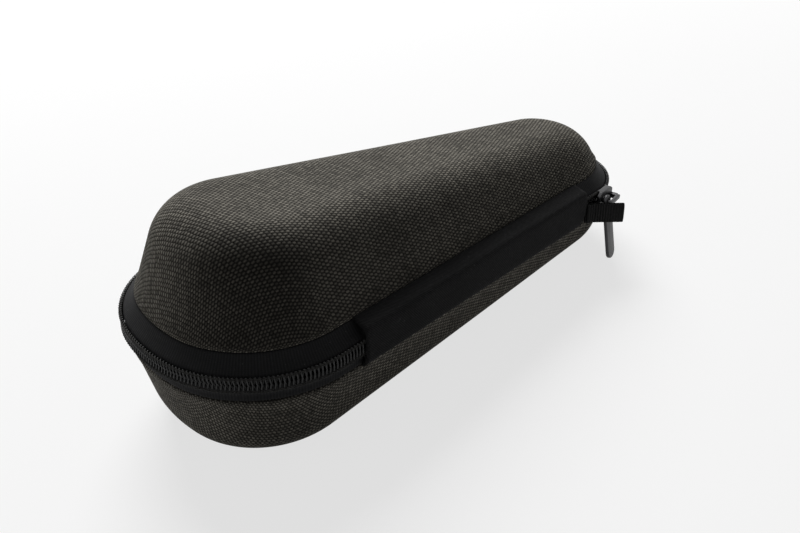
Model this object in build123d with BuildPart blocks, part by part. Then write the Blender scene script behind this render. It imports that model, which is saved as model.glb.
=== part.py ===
from build123d import *

import os
from math import atan2, cos, degrees, radians, sin, sqrt, tan

# Hard case for an electric shaver: two moulded foam shells, a coil zip and a cloth hinge.
os.makedirs("parts", exist_ok=True)

# ---- Driving dimensions, in millimetres and degrees -----------------------------------
# Rim: the line of the zip teeth, drawn in the seam plane. +X is the narrow end.
rim_length = 185.0
far_radius = 26.4
side_taper = 6.6
corner_radius = 36.4
near_end_radius = 59.5

# Seam plane: its height at mid-length, and how far it dips towards the narrow end
seam_height = 28.4
seam_dip = 4.3

# Moulded walls, each with its draft, its rounded top edge and the level where its cloth starts
cloth = 0.8
foam = 3.0
lining = 0.5
lid_height = 28.0
lid_dip = 6.2
lid_draft = 20.0
lid_round = 16.5
lid_foot_inset = 5.0
lid_foot_level = 6.9
base_draft = 13.5
base_round = 14.0
base_foot_inset = 2.0
base_foot_level = 6.5
lip_level = 4.3

# Zip tape, and the gap between its two edges
tape = 0.8
tape_gap = 1.8
tape_inset = 1.2
tape_turn_level = 2.6
tape_tuck_length = 7.0

# Teeth of the zip
tooth_pitch = 2.4
tooth_width = 1.0
tooth_reach = 2.3
tooth_lap = 0.3
parted_reach = 2.8

# Cloth hinge on the -Y side, placed by the distance from each end of the rim, its facing, and
# the bindings inside
hinge_near_distance = 47.5
hinge_far_distance = 31.0
hinge_cloth_thickness = 0.9
hinge_proud = 1.0
hinge_top_level = 6.2
hinge_bottom_level = 7.2
hinge_corner_length = 4.0
hinge_corner_slope = 30.0
facing_level = 9.0
facing_end = 3.0
binding_thickness = 0.5
binding_width = 3.0
binding_level = 8.0

# Pull tab at the hinge's far end: a folded webbing that stands off from the wall
tab_width = 7.0
tab_reach = 11.5
tab_root_length = 1.6
tab_thickness = 1.6
tab_angle = 41.0
tab_drop = 1.9
tab_fold_gap = 0.3
tab_fold_length = 3.0

# Slider, on the arc of the narrow end
slider_angle = 75.0
slider_length = 10.4
slider_front_width = 7.4
slider_rear_width = 6.4
slider_nose_length = 1.8
slider_plate_thickness = 1.1
slider_over_teeth = 0.4
slider_under_tape = 1.3
slider_lip_width = 0.7
slider_lip_drop = 0.75
slider_corner_radius = 0.8
post_width = 1.1
post_length = 2.6
post_place = 2.9

# Bridge on the slider and the puller that hangs on its front leg
bridge_leg_width = 1.6
bridge_span = 5.6
bridge_band_thickness = 0.9
bridge_front = 2.2
puller_length = 21.7
puller_width = 5.4
puller_head_length = 2.4
puller_neck_width = 4.4
puller_neck_length = 6.0
puller_thickness = 1.1
puller_lean = 9.0
puller_edge_width = 0.25
eye_gap = 0.4
lean_gap = 0.85
bridge_gap = 0.65

# Clearances
skin_gap = 0.05
snug = 0.1

# ---- Rim geometry ---------------------------------------------------------------------
side_angle = 90 - side_taper
hinge_near = hinge_near_distance - rim_length / 2
hinge_far = rim_length / 2 - hinge_far_distance


def heading(angle):
    """Unit vector in the seam plane at an angle from +X."""
    return Vector(cos(radians(angle)), sin(radians(angle)))


def across(point):
    """The same point on the other long side."""
    return Vector(point.X, -point.Y)


far_centre = Vector(rim_length / 2 - far_radius, 0)
near_centre = Vector(near_end_radius - rim_length / 2, 0)
side_run = heading(180 - side_taper)
corner_foot = far_centre + heading(side_angle) * (far_radius - corner_radius)
corner_offset = corner_foot - near_centre
corner_reach = near_end_radius - corner_radius
corner_run = corner_offset.dot(side_run)
corner_along = sqrt(corner_run**2 - corner_offset.dot(corner_offset) + corner_reach**2) - corner_run
corner_centre = corner_foot + side_run * corner_along
corner_angle = degrees(atan2(corner_centre.Y, corner_centre.X - near_centre.X))
corner_turn = corner_angle - side_angle

seam = Plane(
    origin=(0, 0, seam_height),
    x_dir=(cos(radians(seam_dip)), 0, -sin(radians(seam_dip))),
    z_dir=(sin(radians(seam_dip)), 0, cos(radians(seam_dip))),
)
lid_top_dip = radians(seam_dip + lid_dip)
lid_top = Plane(
    origin=seam.from_local_coords(Vector(0, 0, lid_height)),
    x_dir=(cos(lid_top_dip), 0, -sin(lid_top_dip)),
    z_dir=(sin(lid_top_dip), 0, cos(lid_top_dip)),
)
lid_rise = Axis(lid_top.origin, lid_top.z_dir)


def side_point(x, inset=0.0):
    """Point on the -Y side line of the rim, moved inwards, at a length x."""
    far_point = far_centre + heading(-side_angle) * (far_radius - inset)
    run = across(side_run)
    return far_point + run * ((x - far_point.X) / run.X)


def rim_arcs(inset=0.0):
    """The rim's four arcs, counter-clockwise from the narrow end, and the +Y side between them."""
    far_arc = CenterArc(far_centre, far_radius - inset, -side_angle, 2 * side_angle)
    left = CenterArc(corner_centre, corner_radius - inset, side_angle, corner_turn)
    Line(far_arc @ 1, left @ 0)
    CenterArc(near_centre, near_end_radius - inset, corner_angle, 360 - 2 * corner_angle)
    right = CenterArc(across(corner_centre), corner_radius - inset, -corner_angle, corner_turn)
    return far_arc @ 0, right @ 1


def rim_face(inset):
    """Face bounded by the rim, moved inwards."""
    with BuildSketch() as face:
        with BuildLine():
            first, last = rim_arcs(inset)
            Line(last, first)
        make_face()
    return face.sketch


def section_plane(point):
    """Plane square to the -Y side: x is the distance inwards, y the level above the seam."""
    upright = Plane(origin=point, x_dir=-heading(-side_angle), z_dir=heading(side_taper))
    return Plane(seam.location * upright.location)


with BuildLine() as whole_rim:
    first, last = rim_arcs()
    Line(last, first)
whole_path = seam.from_local_coords(whole_rim.wire())
whole_plane = section_plane(whole_rim.wire() @ 0)

zip_first = side_point(hinge_far - tape_tuck_length)
zip_last = side_point(hinge_near + tape_tuck_length)
with BuildLine() as zipped_rim:
    first, last = rim_arcs()
    Line(zip_first, first)
    Line(last, zip_last)
zip_path = seam.from_local_coords(zipped_rim.wire())
zip_plane = section_plane(zip_first)


# ---- Moulded shells -------------------------------------------------------------------
def lid_inset(skin, level):
    """Distance from the rim to the lid's wall, a skin below its surface, at a level."""
    draft = radians(lid_draft)
    return lid_foot_inset + skin / cos(draft) + (level - lid_foot_level) * tan(draft)


def base_inset(skin, level):
    """Distance from the rim to the base's wall, a skin below its surface, at a depth."""
    draft = radians(base_draft)
    return base_foot_inset + skin / cos(draft) + (level - base_foot_level) * tan(draft)


def lid_block(skin, level):
    """The lid's drafted and rounded form, a skin below its surface, solid from a level up."""
    with BuildPart() as block:
        with BuildSketch(seam.offset(level)):
            add(rim_face(lid_inset(skin, level)))
        extrude(amount=2 * lid_height - level, taper=lid_draft)
        split(bisect_by=lid_top.offset(-skin), keep=Keep.BOTTOM)
        fillet(block.faces().sort_by(lid_rise)[-1].edges(), radius=lid_round - skin)
    return block.part


def base_block(skin, level):
    """The base's drafted and rounded form, a skin below its surface, solid from a depth down."""
    foot = seam.offset(-level)
    with BuildPart() as block:
        with BuildSketch(Plane(origin=foot.origin, x_dir=foot.x_dir, z_dir=-foot.z_dir)):
            add(rim_face(base_inset(skin, level)))
        extrude(amount=2 * seam_height - level, taper=base_draft)
        split(bisect_by=Plane.XY.offset(skin), keep=Keep.TOP)
        fillet(block.faces().sort_by(Axis.Z)[0].edges(), radius=base_round - skin)
    return block.part


def tape_line(foot_inset, foot_level, side):
    """Cross-section of one zip tape: upright behind the teeth, then sloping to the shell's foot."""
    edge = Vector(tape_inset, side * tape_gap / 2)
    turn = Vector(tape_inset, side * tape_turn_level)
    foot = Vector(foot_inset - snug, side * (foot_level - skin_gap))
    back = Vector(tape, 0)
    Polyline(edge, turn, foot, foot + back, turn + back, edge + back, close=True)


def lip_line(foot_inset, foot_level, wall_inset, back_inset, side):
    """Cross-section of a shell's lip, which backs the tape between its lip level and its foot."""
    slope = (foot_inset - snug - tape_inset) / (foot_level - tape_turn_level)
    front = tape_inset + (lip_level - tape_turn_level) * slope + tape + skin_gap
    lip = side * lip_level
    foot = side * foot_level
    Polyline((front, lip), (wall_inset, foot), (back_inset, foot), (back_inset, lip), close=True)


def binding_line(inset_at, side):
    """Cross-section of a binding: flat under the lip, and turned up over the lining."""
    under = lip_level - skin_gap
    level = under - binding_thickness
    skin = cloth + foam + lining
    low = inset_at(skin, under) + skin_gap
    top = inset_at(skin, binding_level) + skin_gap
    Polyline(
        (low - binding_width, side * under),
        (low, side * under),
        (top, side * binding_level),
        (top + binding_thickness, side * binding_level),
        (low + binding_thickness, side * level),
        (low - binding_width, side * level),
        close=True,
    )


# Lid: cloth, foam and lining are skins of one moulded form
lid_skins = [0, cloth, cloth + foam, cloth + foam + lining]
lid_levels = [lid_foot_level, lid_foot_level, lip_level, lip_level]
lid_forms = [lid_block(skin, level) for skin, level in zip(lid_skins, lid_levels)]

with BuildPart() as lid_outer_fabric:
    add(lid_forms[0])
    add(lid_forms[1], mode=Mode.SUBTRACT)

with BuildPart() as lid_foam_shell:
    with BuildSketch(whole_plane):
        with BuildLine():
            back = lid_inset(lid_skins[2], lid_foot_level)
            lip_line(lid_foot_inset, lid_foot_level, lid_inset(cloth, lid_foot_level), back, 1)
        make_face()
    sweep(path=whole_path)
    add(lid_forms[1])
    add(lid_forms[2], mode=Mode.SUBTRACT)

with BuildPart() as lid_lining:
    add(lid_forms[2])
    add(lid_forms[3], mode=Mode.SUBTRACT)

# Base: the same three skins, with its flat floor at the origin's level
base_skins = [0, cloth, cloth + foam, cloth + foam + lining]
base_levels = [base_foot_level, base_foot_level, lip_level, lip_level]
base_forms = [base_block(skin, level) for skin, level in zip(base_skins, base_levels)]

with BuildPart() as base_outer_fabric:
    add(base_forms[0])
    add(base_forms[1], mode=Mode.SUBTRACT)

with BuildPart() as base_foam_shell:
    with BuildSketch(whole_plane):
        with BuildLine():
            back = base_inset(base_skins[2], base_foot_level)
            lip_line(base_foot_inset, base_foot_level, base_inset(cloth, base_foot_level), back, -1)
        make_face()
    sweep(path=whole_path)
    add(base_forms[1])
    add(base_forms[2], mode=Mode.SUBTRACT)

with BuildPart() as base_lining:
    add(base_forms[2])
    add(base_forms[3], mode=Mode.SUBTRACT)

# Bindings sewn over the inner edge of each lip
with BuildPart() as lid_seam_binding:
    with BuildSketch(whole_plane):
        with BuildLine():
            binding_line(lid_inset, 1)
        make_face()
    sweep(path=whole_path)

with BuildPart() as base_seam_binding:
    with BuildSketch(whole_plane):
        with BuildLine():
            binding_line(base_inset, -1)
        make_face()
    sweep(path=whole_path)

# ---- Zip ------------------------------------------------------------------------------
with BuildPart() as lid_zip_tape:
    with BuildSketch(zip_plane):
        with BuildLine():
            tape_line(lid_foot_inset, lid_foot_level, 1)
        make_face()
    sweep(path=zip_path)

with BuildPart() as base_zip_tape:
    with BuildSketch(zip_plane):
        with BuildLine():
            tape_line(base_foot_inset, base_foot_level, -1)
        make_face()
    sweep(path=zip_path)

slider_point = far_centre + heading(-slider_angle) * far_radius
slider_run = (zip_first - far_centre).dot(across(side_run))
slider_run += radians(side_angle - slider_angle) * far_radius
parted_run = slider_run - post_place + post_length


def tooth_places(shift, low, high, first, last):
    """Places of the teeth along the zip, each a low corner, from one distance to another."""
    rim_line = zipped_rim.wire()
    places = []
    count = int(rim_line.length / tooth_pitch)
    for index in range(count):
        run = (index + shift) * tooth_pitch
        if first <= run < last:
            point = rim_line.position_at(run, position_mode=PositionMode.LENGTH)
            tangent = rim_line.tangent_at(run, position_mode=PositionMode.LENGTH)
            inwards = Vector(-tangent.Y, tangent.X)
            upright = Plane(origin=point, x_dir=inwards, z_dir=tangent)
            places.append(seam.location * upright.location * Location((0, (low + high) / 2, 0)))
    return places


def teeth(shift, side):
    """One row of teeth: parted between the slider's post and the zip's end, meshed past it."""
    end = zip_path.length
    depth = tape_inset - skin_gap
    rows = [
        (tape_gap / 2, parted_reach, tooth_pitch, parted_run),
        (-tooth_lap, tooth_reach, parted_run, end - tooth_pitch),
    ]
    with BuildPart() as row:
        for low, high, first, last in rows:
            places = tooth_places(shift, side * low, side * high, first, last)
            with Locations(*places):
                Box(depth, high - low, tooth_width, align=(Align.MIN, Align.CENTER, Align.CENTER))
    return row


lid_zip_coil = teeth(0.5, 1)
base_zip_coil = teeth(0.0, -1)

# ---- Cloth hinge ----------------------------------------------------------------------
hinge_length = (side_point(hinge_far) - side_point(hinge_near)).length

with BuildPart() as hinge_gusset:
    outer_face = -hinge_proud
    inner_face = hinge_cloth_thickness - hinge_proud
    foot_edge = lid_foot_inset - snug
    base_edge = base_inset(0, hinge_bottom_level) - skin_gap
    with BuildSketch(section_plane(side_point(hinge_near))):
        with BuildLine():
            Polyline(
                (outer_face, hinge_top_level),
                (foot_edge, lid_foot_level + hinge_cloth_thickness),
                (foot_edge, lid_foot_level),
                (inner_face, hinge_top_level - hinge_cloth_thickness),
                (inner_face, -lip_level),
                (base_foot_inset - snug, -base_foot_level),
                (base_edge, -hinge_bottom_level),
                (base_edge - hinge_cloth_thickness, -hinge_bottom_level),
                (outer_face, -lip_level - hinge_cloth_thickness / 2),
                close=True,
            )
        make_face()
    extrude(amount=hinge_length)
    corner_place = (0, -hinge_bottom_level, -hinge_corner_length)
    corner_cut = Location(corner_place, (-90 - hinge_corner_slope, 0, 0))
    split(bisect_by=Plane(section_plane(side_point(hinge_far)).location * corner_cut), keep=Keep.TOP)

with BuildPart() as hinge_facing:
    skin = cloth + foam + lining
    cover = binding_thickness + 3 * snug
    under = lip_level - skin_gap
    bound = under - binding_thickness
    front = [
        (lid_inset(skin, facing_level) + cover, facing_level),
        (lid_inset(skin, under) + cover, under),
        (lid_inset(skin, under) + cover, bound),
        (base_inset(skin, under) + cover, -bound),
        (base_inset(skin, under) + cover, -under),
        (base_inset(skin, facing_level) + cover, -facing_level),
    ]
    back = [(inset + lining, level) for inset, level in reversed(front)]
    with BuildSketch(section_plane(side_point(hinge_near + facing_end))):
        with BuildLine():
            Polyline(*front, *back, close=True)
        make_face()
    extrude(amount=hinge_length - 2 * facing_end)

# Pull tab: a folded webbing, sewn in at the hinge's end and standing off from the wall
with BuildPart() as pull_tab:
    tab_start = side_point(hinge_far) + heading(side_taper) * snug
    tab_start += heading(-side_angle) * (tab_thickness / 2 + snug)
    tab_bend = tab_start + heading(side_taper) * tab_root_length
    tab_end = tab_bend + heading(-tab_angle) * tab_reach
    with BuildSketch(seam.offset(-tab_drop - tab_width / 2)):
        with BuildLine():
            FilletPolyline(tab_start, tab_bend, tab_end, radius=tab_thickness)
        trace(line_width=tab_thickness)
        with Locations(tab_end):
            Circle(tab_thickness / 2)
        with Locations(tab_end - heading(-tab_angle) * tab_fold_length / 2):
            SlotOverall(tab_fold_length, tab_fold_gap, rotation=-tab_angle, mode=Mode.SUBTRACT)
    extrude(amount=tab_width)

# ---- Slider ---------------------------------------------------------------------------
# Seen from outside: x runs back along the zip, y up, and z outwards from the rim line.
slider_back = heading(90 - slider_angle)
slider_stance = Plane(origin=slider_point, x_dir=slider_back, z_dir=heading(-slider_angle))
slider_face = Plane(seam.location * slider_stance.location)


def plate_outline(inwards=0.0):
    """The slider's plate: two blunt noses at the front and a narrower tail."""
    nose = slider_length / 2 - slider_nose_length
    front = slider_front_width / 2 - inwards
    rear = slider_rear_width / 2 - inwards
    blunt = 2 * slider_nose_length / 3
    tip = slider_length / 2
    Polyline(
        (-tip, blunt - front),
        (-nose, -front),
        (nose, -rear),
        (tip, blunt - rear),
        (tip, rear - blunt),
        (nose, rear),
        (-nose, front),
        (-tip, front - blunt),
        close=True,
    )


with BuildPart() as slider_body:
    plate_in = -tape_inset - tape - slider_under_tape
    with BuildSketch(slider_face.offset(slider_over_teeth)) as plate:
        with BuildLine():
            plate_outline()
        make_face()
        fillet(plate.vertices(), slider_corner_radius)
    extrude(amount=slider_plate_thickness)
    with BuildSketch(slider_face.offset(plate_in)) as inner_plate:
        with BuildLine():
            plate_outline(slider_lip_width / 2)
        make_face()
        fillet(inner_plate.vertices(), slider_corner_radius)
    extrude(amount=-slider_plate_thickness)
    with BuildSketch(slider_face.offset(slider_over_teeth)) as lips:
        with BuildLine():
            plate_outline()
        make_face()
        with BuildLine():
            plate_outline(slider_lip_width)
        make_face(mode=Mode.SUBTRACT)
        Rectangle(slider_length - 2 * slider_nose_length, slider_front_width, mode=Mode.INTERSECT)
    extrude(amount=-slider_lip_drop)
    with BuildSketch(slider_face.offset(plate_in)):
        with Locations((-post_place, 0)):
            Ellipse(post_length / 2, post_width / 2)
    extrude(amount=slider_over_teeth - plate_in)

bridge_seat = slider_over_teeth + slider_plate_thickness
eye_level = bridge_seat + lean_gap + puller_thickness / 2
bridge_top = eye_level + puller_thickness / 2 + bridge_gap + bridge_band_thickness

with BuildPart() as slider_bridge:
    with BuildSketch(slider_face.offset(bridge_seat)):
        with Locations((-bridge_front, 0)):
            Circle(bridge_leg_width / 2)
        with Locations((bridge_span - bridge_front, 0)):
            Rectangle(bridge_leg_width, bridge_leg_width)
    extrude(amount=bridge_top - bridge_seat - bridge_band_thickness)
    with BuildSketch(slider_face.offset(bridge_top - bridge_band_thickness)):
        with Locations((bridge_span / 2 - bridge_front, 0)):
            SlotCenterToCenter(bridge_span, bridge_leg_width)
    extrude(amount=bridge_band_thickness)

# Puller: a plate with an eye round the bridge's front leg, leaning in towards the wall
eye_place = Location((-bridge_front, 0, eye_level), (-puller_lean, 0, 0))
puller_plane = Plane(slider_face.location * eye_place)

with BuildPart() as puller:
    with BuildSketch(puller_plane.offset(-puller_thickness / 2)) as blade:
        with BuildLine():
            half = puller_width / 2
            neck = puller_neck_width / 2
            tip = half - puller_length
            Line((-neck, puller_head_length - neck), (-neck, -puller_neck_length + half))
            Line((-neck, -puller_neck_length + half), (-half, -puller_neck_length))
            Line((-half, -puller_neck_length), (-half, tip))
            RadiusArc((-half, tip), (half, tip), -half)
            Line((half, tip), (half, -puller_neck_length))
            Line((half, -puller_neck_length), (neck, -puller_neck_length + half))
            Line((neck, -puller_neck_length + half), (neck, puller_head_length - neck))
            RadiusArc((neck, puller_head_length - neck), (-neck, puller_head_length - neck), -neck)
        make_face()
        Circle(bridge_leg_width / 2 + eye_gap, mode=Mode.SUBTRACT)
    extrude(amount=puller_thickness)
    outer_side = puller.faces().sort_by(Axis(puller_plane.origin, puller_plane.z_dir))[-1]
    chamfer(outer_side.outer_wire().edges(), puller_edge_width)

# ---- Files ----------------------------------------------------------------------------
pieces = {
    "base_outer_fabric": base_outer_fabric,
    "base_foam_shell": base_foam_shell,
    "base_lining": base_lining,
    "base_seam_binding": base_seam_binding,
    "base_zip_tape": base_zip_tape,
    "base_zip_coil": base_zip_coil,
    "hinge_gusset": hinge_gusset,
    "hinge_facing": hinge_facing,
    "pull_tab": pull_tab,
    "lid_outer_fabric": lid_outer_fabric,
    "lid_foam_shell": lid_foam_shell,
    "lid_lining": lid_lining,
    "lid_seam_binding": lid_seam_binding,
    "lid_zip_tape": lid_zip_tape,
    "lid_zip_coil": lid_zip_coil,
    "slider_body": slider_body,
    "slider_bridge": slider_bridge,
    "puller": puller,
}
for name, piece in pieces.items():
    piece.part.label = name
    export_step(piece.part, f"parts/{name}.step")
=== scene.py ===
import math

import bmesh
import bpy
import numpy as np
from mathutils import Matrix, Vector


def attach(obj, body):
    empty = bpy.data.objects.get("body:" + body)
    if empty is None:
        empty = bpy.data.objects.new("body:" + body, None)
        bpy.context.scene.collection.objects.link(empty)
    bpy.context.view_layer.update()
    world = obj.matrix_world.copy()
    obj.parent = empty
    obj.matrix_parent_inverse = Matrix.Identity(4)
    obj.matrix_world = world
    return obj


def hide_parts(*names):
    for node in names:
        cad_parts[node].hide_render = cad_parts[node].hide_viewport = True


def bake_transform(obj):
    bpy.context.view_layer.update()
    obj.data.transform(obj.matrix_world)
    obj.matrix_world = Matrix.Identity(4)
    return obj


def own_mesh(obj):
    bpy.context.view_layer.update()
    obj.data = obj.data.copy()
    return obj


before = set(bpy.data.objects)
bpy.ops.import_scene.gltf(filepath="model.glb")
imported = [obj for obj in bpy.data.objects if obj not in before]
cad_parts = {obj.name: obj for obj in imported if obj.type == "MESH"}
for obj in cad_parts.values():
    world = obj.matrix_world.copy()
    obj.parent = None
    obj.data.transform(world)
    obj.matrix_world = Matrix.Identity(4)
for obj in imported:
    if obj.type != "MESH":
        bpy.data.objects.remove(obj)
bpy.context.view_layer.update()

mm = 0.001
upward = np.array([0.0, 0.0, 1.0])
print("frame loaded:", len(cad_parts), "nodes")

# Everything is drawn in the seam plane's own axes, in mm: x along the case, y across, z above the seam.
rim = {
    "length": 185.0,
    "farRadius": 26.4,
    "sideTaper": 6.6,  # degrees
    "cornerRadius": 36.4,
    "nearRadius": 59.5,
    "height": 28.4,  # of the seam's middle over the table
    "dip": 4.3,  # degrees, down towards the far end
    "arcStep": 0.25,  # degrees
}


# A point of the seam's axes is turned by the dip about y, then raised by the seam's height.
def toWorld(points):
    dip = math.radians(rim["dip"])
    x, y, z = points[..., 0], points[..., 1], points[..., 2]
    worldX = x * math.cos(dip) + z * math.sin(dip)
    worldZ = rim["height"] - x * math.sin(dip) + z * math.cos(dip)
    return np.stack([worldX, y, worldZ], axis=-1) * mm


def worldPoint(x, y, z):
    return Vector(toWorld(np.array([x, y, z])).tolist())


def worldTurn(x, y, z):
    return (worldPoint(x, y, z) - worldPoint(0, 0, 0)).normalized()


# Vectors divided by their own lengths.
def unit(vectors):
    return vectors / np.linalg.norm(vectors, axis=-1, keepdims=True)


# Distance run at each point of a flat line: the sum of the steps up to it.
def runLength(points):
    return np.concatenate([[0.0], np.cumsum(np.hypot(*np.diff(points, axis=0).T))])


# 3 t squared less 2 t cubed, with t held between 0 and 1.
def smoothstep(value):
    value = np.clip(value, 0.0, 1.0)
    return value * value * (3 - 2 * value)


# The rim is four arcs joined by two straight sides. Each corner arc touches its side, and lies inside the
# near arc, so its centre is where the side's offset line is near radius less corner radius from that
# arc's centre. The table holds x, y and outward angle, and beside it the distance run.
def rimTable():
    taper = math.radians(rim["sideTaper"])
    half = rim["length"] / 2
    farX = half - rim["farRadius"]
    nearX = rim["nearRadius"] - half
    side = math.pi / 2 - taper
    footX = farX + math.cos(side) * (rim["farRadius"] - rim["cornerRadius"])
    footY = math.sin(side) * (rim["farRadius"] - rim["cornerRadius"])
    runX, runY = -math.cos(taper), math.sin(taper)
    reach = rim["nearRadius"] - rim["cornerRadius"]
    offX, offY = footX - nearX, footY
    dot = offX * runX + offY * runY
    along = math.sqrt(dot * dot - offX * offX - offY * offY + reach * reach) - dot
    cornerX, cornerY = footX + runX * along, footY + runY * along
    turn = math.atan2(cornerY, cornerX - nearX)
    arcs = [
        (farX, 0.0, rim["farRadius"], -side, side),
        (cornerX, cornerY, rim["cornerRadius"], side, turn),
        (nearX, 0.0, rim["nearRadius"], turn, 2 * math.pi - turn),
        (cornerX, -cornerY, rim["cornerRadius"], 2 * math.pi - turn, 2 * math.pi - side),
    ]
    parts = []
    for middleX, middleY, radius, first, last in arcs:
        angle = np.linspace(first, last, int(math.degrees(last - first) / rim["arcStep"]) + 2)
        x, y = middleX + radius * np.cos(angle), middleY + radius * np.sin(angle)
        parts.append(np.stack([x, y, angle], axis=1))
    start = parts[0][0] + np.array([0, 0, 2 * math.pi])
    table = np.vstack(parts + [start[None]])
    return table, runLength(table[:, :2])


rimPoints, rimRun = rimTable()
rimTotal = float(rimRun[-1])


# Point and outward direction at a distance run along the rim, read from the table between its points.
def onRim(run):
    run = np.mod(run, rimTotal)
    x, y, angle = [np.interp(run, rimRun, rimPoints[:, column]) for column in range(3)]
    zero = np.zeros_like(x)
    return np.stack([x, y, zero], axis=-1), np.stack([np.cos(angle), np.sin(angle), zero], axis=-1)


# Places insets and levels along the rim: point - outward * inset + up * level.
def alongRim(run, inset, level):
    point, outward = onRim(run)
    return point - outward * inset[..., None] + upward * level[..., None]


# Distance run where the -y side passes a length x: (x - the side's far x) / cos taper.
def runAtSide(x):
    return (x - rimPoints[0, 0]) / math.cos(math.radians(rim["sideTaper"]))


def addObject(name, data):
    made = bpy.data.objects.new(name, data)
    bpy.context.scene.collection.objects.link(made)
    return made


# Merges equal points, joins flat faces if asked, and turns all faces outwards. An open shell is turned
# by its middle, because its faces are only known to agree with each other.
def cleanMesh(mesh, merge, joinFlats=0.0, middle=None):
    work = bmesh.new()
    work.from_mesh(mesh)
    bmesh.ops.remove_doubles(work, verts=work.verts, dist=merge * mm)
    if joinFlats:
        limit = math.radians(joinFlats)
        bmesh.ops.dissolve_limit(work, angle_limit=limit, verts=work.verts, edges=work.edges)
    bmesh.ops.recalc_face_normals(work, faces=work.faces)
    if middle is not None:
        outwards = [f.normal.dot(f.calc_center_median() - middle) * f.calc_area() for f in work.faces]
        if sum(outwards) < 0:
            bmesh.ops.reverse_faces(work, faces=work.faces)
    for face in work.faces:
        face.smooth = True
    work.to_mesh(mesh)
    work.free()


# Grids of points become quads between neighbours; equal points are merged, so wraps and poles close.
# The flat cloth of a grid becomes the clothMap in metres, and is zero where none is given.
def makePiece(name, grids, cloths=(), closed=True, merge=0.004):
    vertices, faces, cloth = [], [], []
    first = 0
    for number, grid in enumerate(grids):
        rows, columns = grid.shape[:2]
        index = first + np.arange(rows * columns).reshape(rows, columns)
        quads = [index[:-1, :-1], index[:-1, 1:], index[1:, 1:], index[1:, :-1]]
        faces.append(np.stack(quads, axis=-1).reshape(-1, 4))
        vertices.append(toWorld(grid).reshape(-1, 3))
        flat = cloths[number] if number < len(cloths) else np.zeros((rows, columns, 2))
        cloth.append((flat * mm).reshape(-1, 2))
        first += rows * columns
    vertices, faces, cloth = np.vstack(vertices), np.vstack(faces), np.vstack(cloth)
    mesh = bpy.data.meshes.new(name)
    mesh.from_pydata(vertices, [], faces.tolist())
    layer = mesh.uv_layers.new(name="clothMap")
    layer.data.foreach_set("uv", cloth[faces.ravel()].astype(np.float32).ravel())
    cleanMesh(mesh, merge, middle=None if closed else Vector(vertices.mean(axis=0).tolist()))
    return addObject(name, mesh)


def addModifier(piece, name, kind, **values):
    modifier = piece.modifiers.new(name, kind)
    for key, value in values.items():
        setattr(modifier, key, value)


def finish(piece, body, material, nodes=()):
    piece.data.materials.clear()
    piece.data.materials.append(material)
    if body:
        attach(piece, body)
    if nodes:
        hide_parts(*nodes)
    return piece


# The two moulded halves. A half's end plane dips along x, and its cloth is laid turned and skewed.
lidForm = {
    "side": 1,
    "draft": 20.0,  # degrees
    "round": 16.5,
    "footInset": 5.0,
    "footLevel": 6.9,
    "height": 28.0,
    "dip": 6.2,  # degrees
    "clothTurn": -14.3,  # degrees
    "clothSkew": 0.19,
    "clothDraw": 1.0,
}
baseForm = {
    "side": -1,
    "draft": 13.5,
    "round": 14.0,
    "footInset": 2.0,
    "footLevel": 6.5,
    "height": rim["height"],
    "dip": -rim["dip"],
    "clothTurn": -1.0,
    "clothSkew": 0.0,
    "clothDraw": 0.84,
}
skins = {"cloth": 0.8, "foam": 3.0, "lining": 0.5, "lipLevel": 4.3, "coverGap": 0.02}
formGrid = {"around": 384, "wall": 12, "round": 20, "cap": 9, "spineFar": 52.0, "spineNear": -52.0}


# Distances run round the whole rim from its far tip, so that both sides meet in the same points.
def formRuns():
    tip = math.radians(90 - rim["sideTaper"]) * rim["farRadius"]
    return tip + np.linspace(0.0, rimTotal, formGrid["around"] + 1)


# A drafted wall runs up to a ball's contact, the ball turns to the end plane, and the plane closes to
# a spine: wall = rim - outward * (inset + level * tan draft), ball = centre + radius * turned normal.
# The flat cloth keeps the plane as it is, and lays ball and wall outwards by their length from its edge.
def mouldedForm(form, skin, startLevel):
    side, draft, dip = form["side"], math.radians(form["draft"]), math.radians(form["dip"])
    slope = math.tan(draft)
    endNormal = np.array([math.sin(dip) * side, 0.0, math.cos(dip) * side])
    endPoint = (upward if side > 0 else endNormal) * form["height"]
    point, outward = onRim(formRuns())
    wallNormal = outward * math.cos(draft) + upward * side * math.sin(draft)
    low = point - outward * (form["footInset"] - form["footLevel"] * slope)
    climb = upward * side - outward * slope
    lean = wallNormal @ endNormal
    touch = (form["round"] * (lean - 1) - (low - endPoint) @ endNormal) / (climb @ endNormal)
    centre = low + climb * touch[:, None] - wallNormal * form["round"]
    radius = form["round"] - skin
    top = centre + wallNormal * radius
    foot = low - outward * skin / math.cos(draft) + climb * startLevel

    wallShare = np.linspace(0, 1, formGrid["wall"])[:-1, None]
    wall = foot + (top - foot) * wallShare[..., None]
    spread = np.arccos(lean)
    share = np.linspace(0, 1, formGrid["round"])[:, None]
    fromWall, toEnd = np.sin((1 - share) * spread)[..., None], np.sin(share * spread)[..., None]
    turned = fromWall * wallNormal + toEnd * endNormal
    ball = centre + radius * turned / np.sin(spread)[..., None]
    ring = ball[-1]
    onSpine = np.zeros_like(ring)
    onSpine[:, 0] = np.clip(ring[:, 0], formGrid["spineNear"], formGrid["spineFar"])
    plane = (endPoint - endNormal * skin) @ endNormal
    onSpine[:, 2] = (plane - onSpine[:, 0] * endNormal[0]) / endNormal[2]
    cap = ring + (onSpine - ring) * np.linspace(0, 1, formGrid["cap"])[1:, None, None]

    wallLength = np.linalg.norm(top - foot, axis=-1)
    away = np.concatenate([radius * spread + wallLength * (1 - wallShare), radius * spread * (1 - share)])
    laid = ring[:, :2] + outward[:, :2] * away[..., None]
    return np.concatenate([wall, ball, cap]), np.concatenate([laid, cap[..., :2]])


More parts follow.
